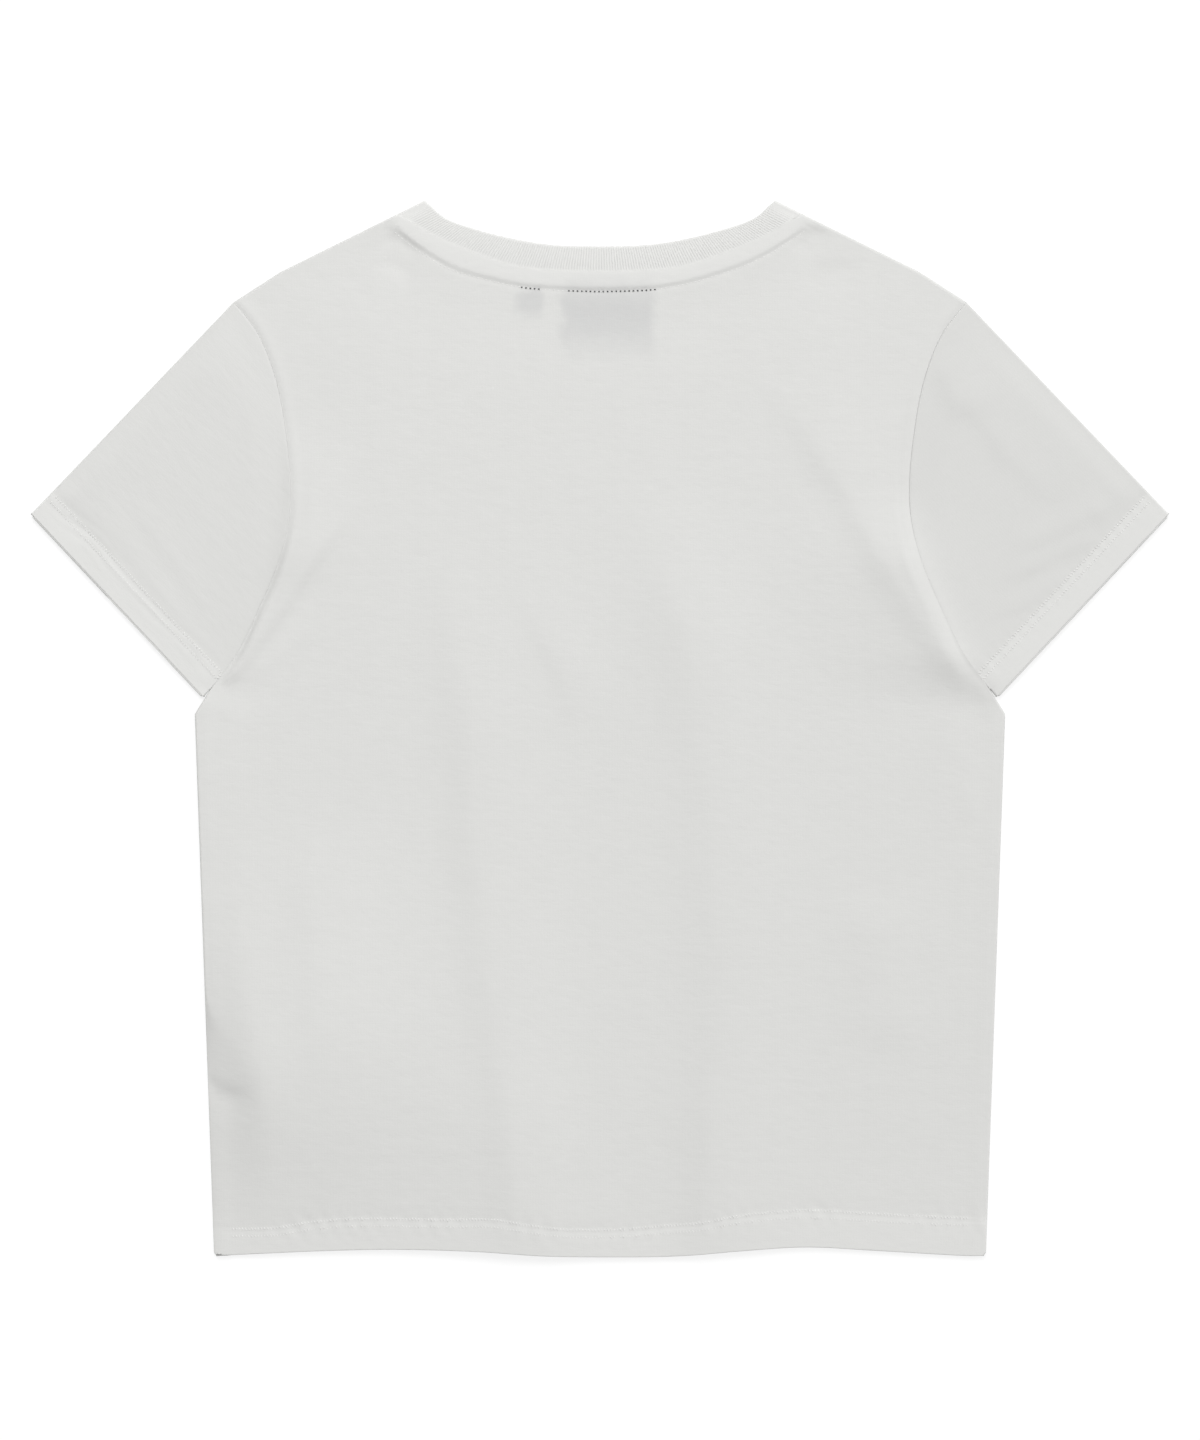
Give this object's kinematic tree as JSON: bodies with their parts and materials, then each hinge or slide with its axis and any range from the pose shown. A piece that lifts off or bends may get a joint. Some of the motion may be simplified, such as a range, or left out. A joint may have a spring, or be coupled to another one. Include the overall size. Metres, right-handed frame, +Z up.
{
  "type": "t-shirt",
  "caption": "Short-sleeved crew-neck t-shirt in plain white cotton jersey, boxy cut, laid flat with its back up, sleeves spread.",
  "frame": {"origin": "on the surface the shirt lies on, under the middle of its laid outline", "axes": "+X across the chest towards the wearer's right, +Y from the hem to the neck, +Z up out of the back of the shirt"},
  "size_m": [0.648, 0.6018, 0.0078],
  "materials": {
    "jersey": "matt single jersey knit, off-white",
    "rib": "matt 1x1 rib knit, off-white",
    "tape": "matt knitted tape, off-white",
    "label": "plain grey woven label, blank"
  },
  "bodies": {
    "root": {"front_panel": "jersey", "back_panel": "jersey", "left_sleeve": "jersey", "right_sleeve": "jersey", "neck_rib": "rib", "back_neck_tape": "tape", "main_label": "label", "size_label": "label"}
  },
  "joints": []
}
